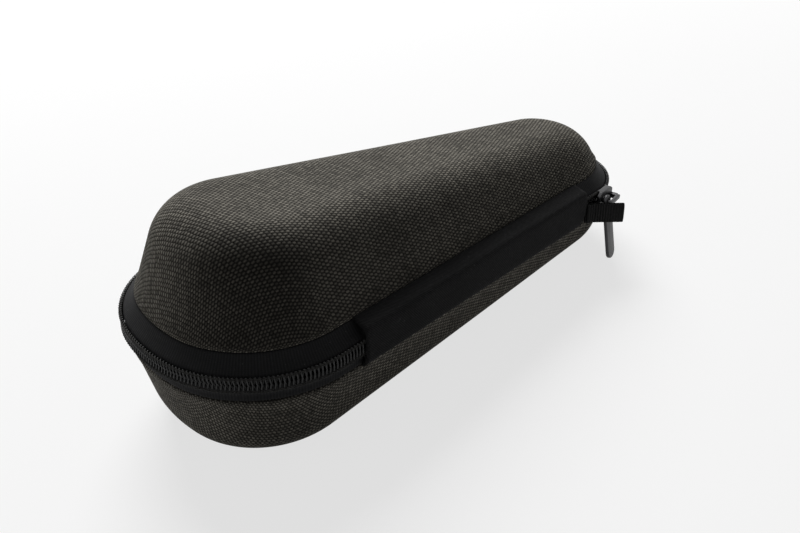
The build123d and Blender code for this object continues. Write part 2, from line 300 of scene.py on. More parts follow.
clothWaves = {
    "height": 0.10,
    "long": 19.0,
    "cross": 23.0,
    "phase": 1.3,
    "centreLevel": 10.0,
    "alongShare": 0.25,
    "fadeReach": 6.0,
}


# Slow waves sink the moulded cloth: height * (1 + sin(x / long) * sin(y / cross + z / long)) / 2, towards
# the form's middle and mostly across the case, fading at the foot.
def relaxed(rows, form):
    x, y, z = rows[..., 0], rows[..., 1], rows[..., 2]
    long, cross = clothWaves["long"], clothWaves["cross"]
    wave = np.sin(x / long + clothWaves["phase"]) * np.sin(y / cross + z / long)
    away = rows - np.array([0.0, 0.0, form["side"] * clothWaves["centreLevel"]])
    away[..., 0] *= clothWaves["alongShare"]
    fade = smoothstep((np.abs(z) - form["footLevel"]) / clothWaves["fadeReach"])
    return rows - unit(away) * (clothWaves["height"] * (1 + wave) * fade / 2)[..., None]


# The flat cloth is turned by an angle, then its cross yarns are skewed and drawn: y + skew * x, times draw.
def laidCloth(flat, form):
    turn = math.radians(form["clothTurn"])
    x = flat[..., 0] * math.cos(turn) - flat[..., 1] * math.sin(turn)
    y = flat[..., 0] * math.sin(turn) + flat[..., 1] * math.cos(turn)
    return np.stack([x, (y + form["clothSkew"] * x) * form["clothDraw"]], axis=-1)


# Short ways to place nodes in a tree and join them.
class Wires:
    def __init__(self, tree):
        self.tree = tree

    def put(self, socket, value):
        if isinstance(value, bpy.types.NodeSocket):
            self.tree.links.new(value, socket)
        elif value is not None:
            socket.default_value = value

    def node(self, kind, sockets=(), **settings):
        made = self.tree.nodes.new(kind)
        for name, value in settings.items():
            setattr(made, name, value)
        for name, value in dict(sockets).items():
            self.put(made.inputs[name], value)
        return made

    def math(self, operation, a, b=None, c=None, clamp=False):
        made = self.node("ShaderNodeMath", {0: a, 1: b, 2: c}, operation=operation, use_clamp=clamp)
        return made.outputs[0]

    def mix(self, factor, a, b, blend="MIX"):
        sockets = {0: factor, 6: a, 7: b}
        return self.node("ShaderNodeMix", sockets, data_type="RGBA", blend_type=blend).outputs[2]

    def noise(self, vector, scale, detail=2.0, rough=0.5):
        sockets = {"Vector": vector, "Scale": scale, "Detail": detail, "Roughness": rough}
        return self.node("ShaderNodeTexNoise", sockets).outputs["Fac"]

    def remap(self, value, fromLow, fromHigh, toLow, toHigh):
        sockets = enumerate((value, fromLow, fromHigh, toLow, toHigh))
        return self.node("ShaderNodeMapRange", sockets).outputs[0]

    def split(self, vector):
        return self.node("ShaderNodeSeparateXYZ", {0: vector}).outputs

    def grey(self, level):
        return self.node("ShaderNodeCombineColor", {0: level, 1: level, 2: level}).outputs[0]

    def chance(self, dimensions, socket, value):
        return self.node("ShaderNodeTexWhiteNoise", {socket: value}, noise_dimensions=dimensions).outputs[0]

    def cosine(self, halfTurns):
        return self.math("COSINE", self.math("MULTIPLY", halfTurns, math.pi))

    def sine(self, place, length):
        return self.math("SINE", self.math("DIVIDE", self.math("MULTIPLY", place, 2 * math.pi), length))


vectorKind, floatKind, colourKind = "NodeSocketVector", "NodeSocketFloat", "NodeSocketColor"
noiseSpan = (0.3, 0.7)  # where most of a noise's values lie


def newGroup(name, inputs, outputs):
    group = bpy.data.node_groups.new(name, "ShaderNodeTree")
    for socket, kind, value in inputs:
        made = group.interface.new_socket(name=socket, in_out="INPUT", socket_type=kind)
        if value is not None:
            made.default_value = value
    for socket, kind in outputs:
        group.interface.new_socket(name=socket, in_out="OUTPUT", socket_type=kind)
    given, out = group.nodes.new("NodeGroupInput"), group.nodes.new("NodeGroupOutput")
    return group, Wires(group), given.outputs, out.inputs


yarnShape = {
    "driftScale": 260.0,
    "driftDetail": 1.0,
    "drift": 0.7,
    "acrossPower": 0.6,
    "alongPower": 1.2,
    "rowChance": 0.35,
    "crossChance": 0.2,
    "chanceMiddle": 0.78,
    "underRelief": 0.65,
    "least": 0.0001,
}


# Crowns of a light yarn lie in rows, each row one step on from the last. A crown is a power of a cosine
# across its row times a power of a cosine along it, and the dark yarn shows in between.
def weaveGroup():
    inputs = [
        ("Cloth", vectorKind, None),
        ("Long Pitch", floatKind, 0.001),
        ("Cross Pitch", floatKind, 0.001),
        ("Light Yarn", colourKind, (0.1, 0.1, 0.1, 1)),
        ("Dark Yarn", colourKind, (0.01, 0.01, 0.01, 1)),
        ("Unevenness", floatKind, 0.5),
    ]
    outputs = [("Colour", colourKind), ("Height", floatKind), ("Gap", floatKind)]
    group, w, given, out = newGroup("plainWeave", inputs, outputs)
    least, drift = yarnShape["least"], yarnShape["drift"]
    place = w.split(given["Cloth"])
    wander = w.noise(given["Cloth"], yarnShape["driftScale"], yarnShape["driftDetail"])
    shift = w.math("MULTIPLY_ADD", wander, drift, -drift / 2)
    u = w.math("ADD", w.math("DIVIDE", place[0], given["Long Pitch"]), shift)
    v = w.math("ADD", w.math("DIVIDE", place[1], given["Cross Pitch"]), shift)
    row = w.math("FLOOR", u)
    bend = w.math("MAXIMUM", w.cosine(w.math("SUBTRACT", w.math("SUBTRACT", u, row), 0.5)), least)
    pair = w.math("ADD", v, row)
    wave = w.math("MULTIPLY_ADD", w.cosine(pair), 0.5, 0.5)
    across = w.math("POWER", bend, yarnShape["acrossPower"])
    along = w.math("POWER", w.math("MAXIMUM", wave, least), yarnShape["alongPower"])
    crown = w.math("MULTIPLY", across, along)
    # each crown, each row and each cross yarn is a little lighter or darker by chance
    corner = w.node("ShaderNodeCombineXYZ", {0: row, 1: w.math("ROUND", w.math("MULTIPLY", pair, 0.5))})
    byCross = w.math("MULTIPLY", w.chance("1D", "W", w.math("ROUND", v)), yarnShape["crossChance"])
    byYarn = w.math("MULTIPLY_ADD", w.chance("1D", "W", row), yarnShape["rowChance"], byCross)
    mixed = w.math("ADD", byYarn, w.chance("2D", "Vector", corner.outputs[0]))
    uneven = w.math("MULTIPLY", w.math("SUBTRACT", mixed, yarnShape["chanceMiddle"]), given["Unevenness"])
    light = w.math("MULTIPLY", crown, w.math("ADD", 1.0, uneven), clamp=True)
    under = w.math("MULTIPLY", bend, w.math("SUBTRACT", 1.0, wave))
    strand = w.math("MULTIPLY_ADD", under, yarnShape["underRelief"], crown)
    w.put(out["Colour"], w.mix(light, given["Dark Yarn"], given["Light Yarn"]))
    w.put(out["Height"], strand)
    w.put(out["Gap"], w.math("SUBTRACT", 1.0, strand, clamp=True))
    return group


ribShape = {
    "threadShare": 0.25,
    "depth": 0.4,
    "fuzz": (900.0, 3.0, 0.6),  # scale, detail and roughness of the noise
    "fuzzLeast": 0.3,
}


# Fine slanted ribs, as on a twill or a knit: half + depth * (sine of u + slant * v, and a share of a sine
# of v). The paler colour shows on the ribs, broken by a fuzz; on the sewing thread it is a painted highlight.
def ribGroup():
    inputs = [
        ("Cloth", vectorKind, None),
        ("Pitch", floatKind, 0.0005),
        ("Slant", floatKind, 1.0),
        ("Thread", floatKind, 0.0005),
        ("Colour", colourKind, (0.01, 0.01, 0.01, 1)),
        ("Paler", colourKind, (0.03, 0.03, 0.03, 1)),
    ]
    group, w, given, out = newGroup("fineRibs", inputs, [("Colour", colourKind), ("Height", floatKind)])
    place = w.split(given["Cloth"])
    ribs = w.sine(w.math("MULTIPLY_ADD", place[1], given["Slant"], place[0]), given["Pitch"])
    both = w.math("MULTIPLY_ADD", w.sine(place[1], given["Thread"]), ribShape["threadShare"], ribs)
    height = w.math("MULTIPLY_ADD", both, ribShape["depth"], 0.5)
    fuzz = w.noise(given["Cloth"], *ribShape["fuzz"])
    shown = w.remap(fuzz, *noiseSpan, ribShape["fuzzLeast"], 1.0)
    mask = w.math("MULTIPLY", height, shown, clamp=True)
    w.put(out["Colour"], w.mix(mask, given["Colour"], given["Paler"]))
    w.put(out["Height"], height)
    return group


patchShape = {
    "detail": 3.0,
    "rough": 0.55,
    "span": (0.25, 0.75),
    "specks": (1400.0, 1.0, 0.4),  # scale, detail and roughness of the noise
    "speckSpan": (0.74, 0.80),
}


# Large soft patches as a multiplier for a cloth's colour, 1 - strength to 1 + strength, and fine lint.
def patchGroup():
    inputs = [
        ("Place", vectorKind, None),
        ("Size", floatKind, 40.0),
        ("Strength", floatKind, 0.2),
        ("Lint", floatKind, 0.02),
    ]
    group, w, given, out = newGroup("patchAndLint", inputs, [("Tint", colourKind), ("Lint", floatKind)])
    broad = w.noise(given["Place"], given["Size"], patchShape["detail"], patchShape["rough"])
    low, high = w.math("SUBTRACT", 1.0, given["Strength"]), w.math("ADD", 1.0, given["Strength"])
    w.put(out["Tint"], w.grey(w.remap(broad, *patchShape["span"], low, high)))
    lint = w.remap(w.noise(given["Place"], *patchShape["specks"]), *patchShape["speckSpan"], 0.0, 1.0)
    w.put(out["Lint"], w.math("MULTIPLY", lint, given["Lint"]))
    return group


weave, ribs, patches = weaveGroup(), ribGroup(), patchGroup()


def newMaterial(name, specular, metal=0.0):
    material = bpy.data.materials.new(name)
    material.use_nodes = True
    surface = material.node_tree.nodes["Principled BSDF"].inputs
    surface["Specular IOR Level"].default_value = specular
    surface["Metallic"].default_value = metal
    return material, Wires(material.node_tree), surface


def dress(w, surface, colour, rough, height, look):
    w.put(surface["Base Color"], colour)
    w.put(surface["Roughness"], rough)
    sockets = {"Height": height, "Strength": look["bump"], "Distance": look["relief"]}
    w.put(surface["Normal"], w.node("ShaderNodeBump", sockets).outputs[0])


def clothMap(w):
    return w.node("ShaderNodeUVMap", uv_map="clothMap").outputs[0]


def objectMap(w):
    return w.node("ShaderNodeTexCoord").outputs["Object"]


# A cloth's colour times its soft patches, with lint on it.
def patched(w, colour, look):
    sockets = {
        "Place": objectMap(w),
        "Size": look["patchSize"],
        "Strength": look["patch"],
        "Lint": look["lint"],
    }
    patch = w.node("ShaderNodeGroup", sockets, node_tree=patches).outputs
    return w.mix(patch["Lint"], w.mix(1.0, colour, patch["Tint"], "MULTIPLY"), look["lintColour"])


wovenLook = {
    "specular": 0.06,
    "longPitch": 1.25 * mm,
    "crossPitch": 0.575 * mm,
    "light": (0.178, 0.166, 0.142, 1),
    "dark": (0.0185, 0.0175, 0.0152, 1),
    "unevenness": 0.8,
    "patchSize": 45.0,
    "patch": 0.14,
    "lint": 0.3,
    "lintColour": (0.22, 0.21, 0.19, 1),
    "rough": (0.72, 0.95),
    "bump": 0.9,
    "relief": 0.22 * mm,
    # The last two entries paint light into the cloth's colour by how squarely it faces the camera: a painted
    # shade face on and a painted sheen at a slant.
    "paintedShadeAndSheenBlend": 0.5,
    "paintedShadeAndSheen": (0.05, 0.5, 0.5, 1.4),  # facing from and to, colour times from and to
}


def wovenMaterial(name, look):
    material, w, surface = newMaterial(name, look["specular"])
    sockets = {
        "Cloth": clothMap(w),
        "Long Pitch": look["longPitch"],
        "Cross Pitch": look["crossPitch"],
        "Light Yarn": look["light"],
        "Dark Yarn": look["dark"],
        "Unevenness": look["unevenness"],
    }
    yarn = w.node("ShaderNodeGroup", sockets, node_tree=weave).outputs
    # The cloth's colour is multiplied by Layer Weight's facing: painted shade where it faces the camera,
    # painted sheen where it is seen at a slant.
    edge = w.node("ShaderNodeLayerWeight", {"Blend": look["paintedShadeAndSheenBlend"]}).outputs["Facing"]
    paintedShadeAndSheen = w.grey(w.remap(edge, *look["paintedShadeAndSheen"]))
    colour = w.mix(1.0, patched(w, yarn["Colour"], look), paintedShadeAndSheen, "MULTIPLY")
    dress(w, surface, colour, w.remap(yarn["Gap"], 0.0, 1.0, *look["rough"]), yarn["Height"], look)
    return material


ribbedShared = {
    "specular": 0.07,
    "patchSize": 70.0,
    "patch": 0.2,
    "lintColour": (0.15, 0.15, 0.15, 1),
    "roughSpan": 0.1,
    "bump": 0.7,
}
ribbedLooks = {
    "zipTape": {
        "pitch": 0.9 * mm, "slant": 0.0, "thread": 0.55 * mm, "relief": 0.05 * mm, "rough": 0.62,
        "lint": 0.25, "colour": (0.0085, 0.0086, 0.0090, 1), "paler": (0.022, 0.022, 0.023, 1),
    },
    "hingeKnit": {
        "pitch": 0.75 * mm, "slant": 0.8, "thread": 0.6 * mm, "relief": 0.1 * mm, "rough": 0.8,
        "lint": 0.3, "colour": (0.008, 0.008, 0.0082, 1), "paler": (0.030, 0.030, 0.0305, 1),
    },
    "grosgrain": {
        "pitch": 0.9 * mm, "slant": 0.0, "thread": 0.35 * mm, "relief": 0.08 * mm, "rough": 0.7,
        "lint": 0.2, "colour": (0.009, 0.009, 0.0092, 1), "paler": (0.036, 0.036, 0.036, 1),
    },
    "bindingTape": {
        "pitch": 0.7 * mm, "slant": 0.0, "thread": 0.5 * mm, "relief": 0.05 * mm, "rough": 0.75,
        "lint": 0.2, "colour": (0.009, 0.009, 0.0095, 1), "paler": (0.022, 0.022, 0.023, 1),
    },
    "liningKnit": {
        "pitch": 1.1 * mm, "slant": 0.5, "thread": 0.9 * mm, "relief": 0.12 * mm, "rough": 0.9,
        "lint": 0.5, "colour": (0.016, 0.016, 0.017, 1), "paler": (0.035, 0.035, 0.036, 1),
    },
    # The sewing thread's paler colour is a painted highlight: pale flecks along the thread stand in for
    # glints on the coil.
    "sewingThread": {
        "pitch": 0.3 * mm, "slant": 0.6, "thread": 0.2 * mm, "relief": 0.03 * mm, "rough": 0.6,
        "lint": 0.1, "colour": (0.014, 0.014, 0.014, 1), "paler": (0.085, 0.083, 0.078, 1),
    },
}


def ribbedMaterial(name, look):
    material, w, surface = newMaterial(name, look["specular"])
    sockets = {
        "Cloth": clothMap(w),
        "Pitch": look["pitch"],
        "Slant": look["slant"],
        "Thread": look["thread"],
        "Colour": look["colour"],
        "Paler": look["paler"],
    }
    rib = w.node("ShaderNodeGroup", sockets, node_tree=ribs).outputs
    rough = w.remap(rib["Height"], 0.0, 1.0, look["rough"] + look["roughSpan"], look["rough"])
    dress(w, surface, patched(w, rib["Colour"], look), rough, rib["Height"], look)
    return material


coilLook = {
    "specular": 0.3,
    "colour": (0.005, 0.005, 0.005, 1),
    "paler": (0.012, 0.012, 0.012, 1),
    "scuff": (700.0, 3.0, 0.6),  # scale, detail and roughness of the noise
    "rough": (0.28, 0.5),
    "grain": 2500.0,
    "bump": 0.2,
    "relief": 0.02 * mm,
}


def coilMaterial(name, look):
    material, w, surface = newMaterial(name, look["specular"])
    place = objectMap(w)
    scuff = w.noise(place, *look["scuff"])
    colour = w.mix(scuff, look["colour"], look["paler"])
    dress(w, surface, colour, w.remap(scuff, *noiseSpan, *look["rough"]), w.noise(place, look["grain"]), look)
    return material


metalLook = {
    "specular": 0.5,
    "metal": 0.85,
    "colour": (0.026, 0.026, 0.027, 1),
    "paler": (0.058, 0.058, 0.060, 1),
    "broad": 160.0,
    "grain": (1800.0, 3.0, 0.6),
    "rough": (0.3, 0.45),
    "bump": 0.25,
    "relief": 0.02 * mm,
}


def metalMaterial(name, look):
    material, w, surface = newMaterial(name, look["specular"], look["metal"])
    place = objectMap(w)
    grain = w.noise(place, *look["grain"])
    colour = w.mix(w.noise(place, look["broad"]), look["colour"], look["paler"])
    dress(w, surface, colour, w.remap(grain, *noiseSpan, *look["rough"]), grain, look)
    return material


foamLook = {
    "specular": 0.2,
    "cells": 2600.0,
    "colour": (0.02, 0.02, 0.021, 1),
    "paler": (0.045, 0.045, 0.046, 1),
    "broad": 400.0,
    "rough": (0.8, 0.95),
    "bump": 0.5,
    "relief": 0.08 * mm,
}


def foamMaterial(name, look):
    material, w, surface = newMaterial(name, look["specular"])
    place = objectMap(w)
    cells = w.node("ShaderNodeTexVoronoi", {"Vector": place, "Scale": look["cells"]}).outputs["Distance"]
    rough = w.remap(w.noise(place, look["broad"]), *noiseSpan, *look["rough"])
    dress(w, surface, w.mix(cells, look["colour"], look["paler"]), rough, cells, look)
    return material


woven = wovenMaterial("greyBrownWeave", wovenLook)
ribbed = {name: ribbedMaterial(name, {**ribbedShared, **look}) for name, look in ribbedLooks.items()}
coilNylon = coilMaterial("coilNylon", coilLook)
gunmetal = metalMaterial("gunmetal", metalLook)
foamBlack = foamMaterial("mouldedFoam", foamLook)
print("materials made")

# Woven covers and linings.
coverEdge = {"roll": 0.7, "rollSteps": 6, "puff": 0.35, "puffReach": 4.0}


# The cloth swells a little over its foot, puff * sine squared of the height, then rolls in on a quarter
# circle: foot - outward * radius * (1 - cos a) - up * radius * sin a.
def rolledFoot(rows, flat, form):
    outward = onRim(formRuns())[1]
    radius = coverEdge["roll"]
    up = upward * form["side"]
    height = np.abs(rows[..., 2]) - form["footLevel"]
    bulge = coverEdge["puff"] * np.sin(math.pi * np.clip(height / coverEdge["puffReach"], 0, 1)) ** 2
    rows = rows + outward[None] * bulge[..., None]
    rows[0] = rows[0] + up * radius
    angles = np.linspace(0.0, 0.5 * math.pi, coverEdge["rollSteps"])[:0:-1]
    foot = [rows[0] - outward * radius * (1 - math.cos(a)) - up * radius * math.sin(a) for a in angles]
    flatFoot = [flat[0] + outward[:, :2] * radius * a for a in angles]
    return np.concatenate([foot, rows]), np.concatenate([flatFoot, flat])


def makeCover(name, form, body, nodes):
    rows, flat = mouldedForm(form, 0.0, form["footLevel"])
    rows, flat = rolledFoot(relaxed(rows, form), flat, form)
    piece = makePiece(name, [rows], [laidCloth(flat, form)], closed=False)
    addModifier(piece, "cloth", "SOLIDIFY", thickness=(skins["cloth"] - skins["coverGap"]) * mm, offset=-1.0)
    return finish(piece, body, woven, nodes)


def makeLining(name, form, body, nodes):
    rows, flat = mouldedForm(form, skins["cloth"] + skins["foam"], skins["lipLevel"])
    piece = makePiece(name, [rows], [flat], closed=False)
    addModifier(piece, "knit", "SOLIDIFY", thickness=skins["lining"] * mm, offset=-1.0)
    return finish(piece, body, ribbed["liningKnit"], nodes)


makeCover("lidCover", lidForm, "lid", ["lid_outer_fabric"])
makeCover("baseCover", baseForm, "base", ["base_outer_fabric"])
makeLining("lidLining", lidForm, "lid", ["lid_lining"])
makeLining("baseLining", baseForm, "base", ["base_lining"])
print("covers and linings made")

# The hinge band lies on the -y side between these distances from the two ends. The zip runs on under it.
hinge = {
    "nearDistance": 47.5,
    "farDistance": 31.0,
    "thick": 0.9,
    "proud": 1.0,
    "top": 6.2,
    "bottom": 7.2,
    "cornerLength": 4.0,
    "cornerSlope": 30.0,  # degrees
    "cornerEase": 12.0,
    "step": 1.0,
    "bendInset": -0.5,
    "bendReach": 4.0,
}
hingeNear = hinge["nearDistance"] - rim["length"] / 2
hingeFar = rim["length"] / 2 - hinge["farDistance"]
zipTape = {
    "thick": 0.8,
    "gap": 1.8,
    "inset": 1.2,
    "turn": 2.6,
    "tuck": 7.0,
    "snug": 0.1,
    "skinGap": 0.05,
    "columns": 620,
    "bow": 0.35,
    "bowDrop": 0.15,
}
zipFirst = runAtSide(hingeFar - zipTape["tuck"])
zipLast = rimTotal + runAtSide(hingeNear + zipTape["tuck"])


# A section is a closed outline (inset, level). Each pass cuts its corners: two points on every side, a
# share of its length in from either end.
def roundedSection(corners, passes, share):
    outline = np.array(corners, float)
    for number in range(passes):
        after = np.roll(outline, -1, axis=0)
        cutA = outline + (after - outline) * share
        cutB = outline + (after - outline) * (1 - share)
        outline = np.stack([cutA, cutB], axis=1).reshape(-1, 2)
    return np.vstack([outline, outline[:1]])


# Carries a section along the rim: rows go round the section, columns along the run less any cut.
def sweptGrid(section, runs, cut=0.0):
    level = section[:, 1:] + np.zeros_like(runs)
    inset = section[:, :1] + np.zeros_like(runs)
    grid = alongRim(runs - cut + np.zeros_like(inset), inset, level)
    cloth = np.stack(np.broadcast_arrays(runs[None], runLength(section)[:, None]), axis=-1)
    return grid, cloth


# The two ends of a swept section close to a line across its middle.
def endCaps(grid):
    caps = []
    for end in (grid[:, 0], grid[:, -1]):
        half = len(end) // 2 + 1
        caps.append(np.stack([end[:half], end[::-1][:half]], axis=1))
    return caps


def sweptPiece(name, section, runs, ring=False, cut=0.0):
    grid, cloth = sweptGrid(section, runs, cut)
    return makePiece(name, [grid] if ring else [grid] + endCaps(grid), [cloth])


# The tape turns up from its edge at the coil and bows to the cover's foot, and its back is its thickness in.
def makeTape(name, form, body, nodes):
    side = form["side"]
    turn = (zipTape["inset"], side * zipTape["turn"])
    edge = (zipTape["inset"], side * zipTape["gap"] / 2)
    foot = (form["footInset"] - zipTape["snug"], side * (form["footLevel"] - zipTape["skinGap"]))
    bow = ((turn[0] + foot[0]) / 2 + zipTape["bow"], (turn[1] + foot[1]) / 2 - side * zipTape["bowDrop"])
    outer = [edge, turn, bow, foot]
    back = [(inset + zipTape["thick"], level) for inset, level in reversed(outer)]
    runs = np.linspace(zipFirst, zipLast, zipTape["columns"])
    piece = sweptPiece(name, roundedSection(outer + back, passes=3, share=0.2), runs)
    finish(piece, body, ribbed["zipTape"], nodes)


makeTape("lidTape", lidForm, "lid", ["lid_zip_tape"])
makeTape("baseTape", baseForm, "base", ["base_zip_tape"])

coil = {
    "pitch": 1.2,
    "wire": 0.27,
    "sides": 6,
    "perTurn": 12,
    "insetMiddle": 0.58,
    "insetHalf": 0.30,
    "levelLow": -0.3,
    "levelHigh": 2.45,
    "squareness": 0.8,
    "endClear": 1.0,
    "merge": 0.0005,
    "partedShift": 1.0,
    "partedEase": 4.0,
}
coilThread = {
    "wire": 0.15,
    "sides": 5,
    "perTurn": 6,
    "inset": 0.10,
    "dip": 0.12,
    "levels": (1.75, 2.20),
    "sway": 0.06,
}
slider = {"angle": 75.0, "postBack": 0.3}
sideAngle = 90 - rim["sideTaper"]
sliderRun = math.radians(sideAngle - slider["angle"]) * rim["farRadius"]


# A tube round a line: line + wire * (across * cos + over * sin), with its ends drawn to points.
def tubeGrid(line, across, over, wire, sides):
    angle = np.linspace(0, 2 * math.pi, sides + 1)[:, None, None]
    grid = line[None] + wire * (np.cos(angle) * across[None] + np.sin(angle) * over[None])
    first, last = [np.broadcast_to(end, (sides + 1, 1, 3)) for end in (line[:1], line[-1:])]
    return np.concatenate([first, grid, last], axis=1)


# A thread's tube: across is square to the line and to the upright, or to x where the line stands up.
def threadTube(line, wire, sides):
    along = unit(np.gradient(line, axis=0))
    upright = np.abs(along[:, 2:3]) > 0.9
    across = unit(np.cross(along, np.where(upright, np.array([[1.0, 0.0, 0.0]]), upward[None])))
    return tubeGrid(line, across, np.cross(across, along), wire, sides)


# A helix's tube: across points away from the helix's own middle, so a tight turn keeps an even thickness.
def helixTube(line, middle, wire, sides):
    along = unit(np.gradient(line, axis=0))
    away = line - middle
    away = unit(away - along * np.sum(away * along, axis=-1, keepdims=True))
    return tubeGrid(line, away, np.cross(along, away), wire, sides)


# How far a row of the zip parts behind the slider: shift * smoothstep(distance behind it / ease + half).
def partedBy(run):
    return coil["partedShift"] * smoothstep((sliderRun + slider["postBack"] - run) / coil["partedEase"] + 0.5)


# The turns of the zip that a line of so many steps per turn runs through, and the distance run at each.
def coilTurns(perTurn, shift=0.0):
    first, last = zipFirst + coil["endClear"], zipLast - coil["endClear"]
    turns = (last - first) / coil["pitch"]
    turn = np.linspace(0, turns, int(turns * perTurn)) + shift
    return turn, first + coil["pitch"] * turn


# One row of the coil: inset = middle + half * cos turn, level = middle + half * sin turn squared off by a
# power, run = pitch * turn.
def makeCoil(name, side, shift, body, nodes):
    turn, run = coilTurns(coil["perTurn"], shift)
    angle = 2 * math.pi * turn
    squared = np.sign(np.sin(angle)) * np.abs(np.sin(angle)) ** coil["squareness"]
    low, high = coil["levelLow"] + coil["wire"], coil["levelHigh"] - coil["wire"]
    level = side * ((low + high) / 2 + (high - low) / 2 * squared + partedBy(run))
    line = alongRim(run, coil["insetMiddle"] + coil["insetHalf"] * np.cos(angle), level)
    middle = alongRim(run, np.full_like(run, coil["insetMiddle"]), side * ((low + high) / 2 + partedBy(run)))
    grid = helixTube(line, middle, coil["wire"], coil["sides"])
    finish(makePiece(name, [grid], merge=coil["merge"]), body, coilNylon, nodes)


# Two threads lie over each row: inset = middle - dip * cos turn, so that they rise over a bar and dip
# between two, and level sways by a sine of half a turn.
def makeCoilThread(name, side, shift, body):
    turn, run = coilTurns(coilThread["perTurn"])
    inset = coilThread["inset"] - coilThread["dip"] * np.cos(2 * math.pi * (turn - shift))
    sway = coilThread["sway"] * np.sin(math.pi * turn)
    lines = [alongRim(run, inset, side * (level + partedBy(run)) + sway) for level in coilThread["levels"]]
    grids = [threadTube(line, coilThread["wire"], coilThread["sides"]) for line in lines]
    finish(makePiece(name, grids, merge=coil["merge"]), body, ribbed["sewingThread"])


makeCoil("lidCoil", 1, 0.0, "lid", ["lid_zip_coil"])
makeCoil("baseCoil", -1, 0.5, "base", ["base_zip_coil"])
makeCoilThread("lidCoilThread", 1, 0.0, "lid")
makeCoilThread("baseCoilThread", -1, 0.5, "base")
print("zip made")

binding = {"thick": 0.5, "width": 3.0, "level": 8.0, "gap": 0.05}


# Inset of a form's skin at a level: foot inset + skin / cos draft + height over the foot * tan draft.
def insetAt(form, skin, level):
    draft = math.radians(form["draft"])
    return form["footInset"] + skin / math.cos(draft) + (level - form["footLevel"]) * math.tan(draft)


# The binding is a strip that lies on the lip and turns up inside the lining, at a gap from both.
def makeBinding(name, form, body, nodes):
    side = form["side"]
    skin = skins["cloth"] + skins["foam"] + skins["lining"]
    under = skins["lipLevel"] - binding["gap"]
    level = under - binding["thick"]
    low = insetAt(form, skin, under) + binding["gap"]
    top = insetAt(form, skin, binding["level"]) + binding["gap"]
    corners = [
        (low - binding["width"], side * under),
        (low, side * under),
        (top, side * binding["level"]),
        (top + binding["thick"], side * binding["level"]),
        (low + binding["thick"], side * level),
        (low - binding["width"], side * level),
    ]
    runs = np.linspace(0.0, rimTotal, formGrid["around"] + 1)
    piece = sweptPiece(name, roundedSection(corners, passes=2, share=0.15), runs, ring=True)
    finish(piece, body, ribbed["bindingTape"], nodes)


makeBinding("lidBinding", lidForm, "lid", ["lid_seam_binding"])
makeBinding("baseBinding", baseForm, "base", ["base_seam_binding"])


# The piece's place is baked into its mesh; it is not bent at the seam.
def bendAtSeam(piece):
    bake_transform(piece)


# The outer band runs from the lid's foot over the zip to the base. Its lower far corner is cut off on a
# slope: each level ends earlier by its depth under the slope's start * slope, eased in along the run.
def makeHinge():
    thick, bottom = hinge["thick"], hinge["bottom"]
    outerFace = -hinge["proud"]
    innerFace = thick - hinge["proud"]
    footEdge = lidForm["footInset"] - zipTape["snug"]
    baseEdge = insetAt(baseForm, 0.0, bottom) - zipTape["skinGap"]
    lip = skins["lipLevel"]
    corners = [
        (outerFace, hinge["top"]),
        (footEdge, lidForm["footLevel"] + thick),
        (footEdge, lidForm["footLevel"]),
        (innerFace, hinge["top"] - thick),
        (innerFace, -lip),
        (baseForm["footInset"] - zipTape["snug"], -baseForm["footLevel"]),
        (baseEdge, -bottom),
        (baseEdge - thick, -bottom),
        (outerFace, -lip - thick / 2),
    ]
    section = roundedSection(corners, passes=3, share=0.12)
    first, last = rimTotal + runAtSide(hingeNear), rimTotal + runAtSide(hingeFar)
    runs = np.linspace(first, last, int((last - first) / hinge["step"]))
    slope = math.tan(math.radians(hinge["cornerSlope"]))
    depth = -section[:, 1][:, None] - bottom + hinge["cornerLength"] / slope
    ease = smoothstep((runs - last + hinge["cornerEase"]) / hinge["cornerEase"])[None]
    piece = sweptPiece("hingeBand", section, runs, cut=np.maximum(depth, 0.0) * slope * ease)
    finish(piece, None, ribbed["hingeKnit"], ["hinge_gusset"])
    bendAtSeam(piece)


facing = {"level": 9.0, "end": 3.0, "bendInset": 8.0, "bendReach": 3.5}


# The strip behind the hinge follows both linings' walls over their bindings, and its back is a lining in.
def makeFacing():
    skin = skins["cloth"] + skins["foam"] + skins["lining"]
    cover = binding["thick"] + 3 * zipTape["snug"]
    under = skins["lipLevel"] - zipTape["skinGap"]
    bound = under - binding["thick"]
    places = [
        (lidForm, facing["level"], facing["level"]),
        (lidForm, under, under),
        (lidForm, under, bound),
        (baseForm, under, -bound),
        (baseForm, under, -under),
        (baseForm, facing["level"], -facing["level"]),
    ]
    front = [(insetAt(form, skin, wall) + cover, level) for form, wall, level in places]
    back = [(inset + skins["lining"], level) for inset, level in reversed(front)]
    first = rimTotal + runAtSide(hingeNear + facing["end"])
    last = rimTotal + runAtSide(hingeFar - facing["end"])
    runs = np.linspace(first, last, int((last - first) / hinge["step"]))
    piece = sweptPiece("hingeFacing", roundedSection(front + back, passes=2, share=0.12), runs)
    finish(piece, None, ribbed["bindingTape"], ["hinge_facing"])
    bendAtSeam(piece)


makeHinge()
makeFacing()
print("hinge made")

tab = {
    "width": 7.0,
    "reach": 11.5,
    "root": 1.6,
    "rootGap": 0.1,
    "thick": 1.6,
    "angle": 41.0,  # degrees
    "drop": 1.9,
    "layer": 0.66,
    "ribPitch": 0.85,
    "ribHeight": 0.07,
    "step": 0.12,
    "bendFrom": 0.2,
    "bendTo": 0.22,
    "bendSteps": 12,
    "tipSteps": 14,
    "merge": 0.001,
    "keep": 0.7,
}


# Forward and leftward directions along a flat line.
def headings(line):
    along = unit(np.gradient(line, axis=0))
    return along, np.stack([-along[:, 1], along[:, 0]], axis=1)


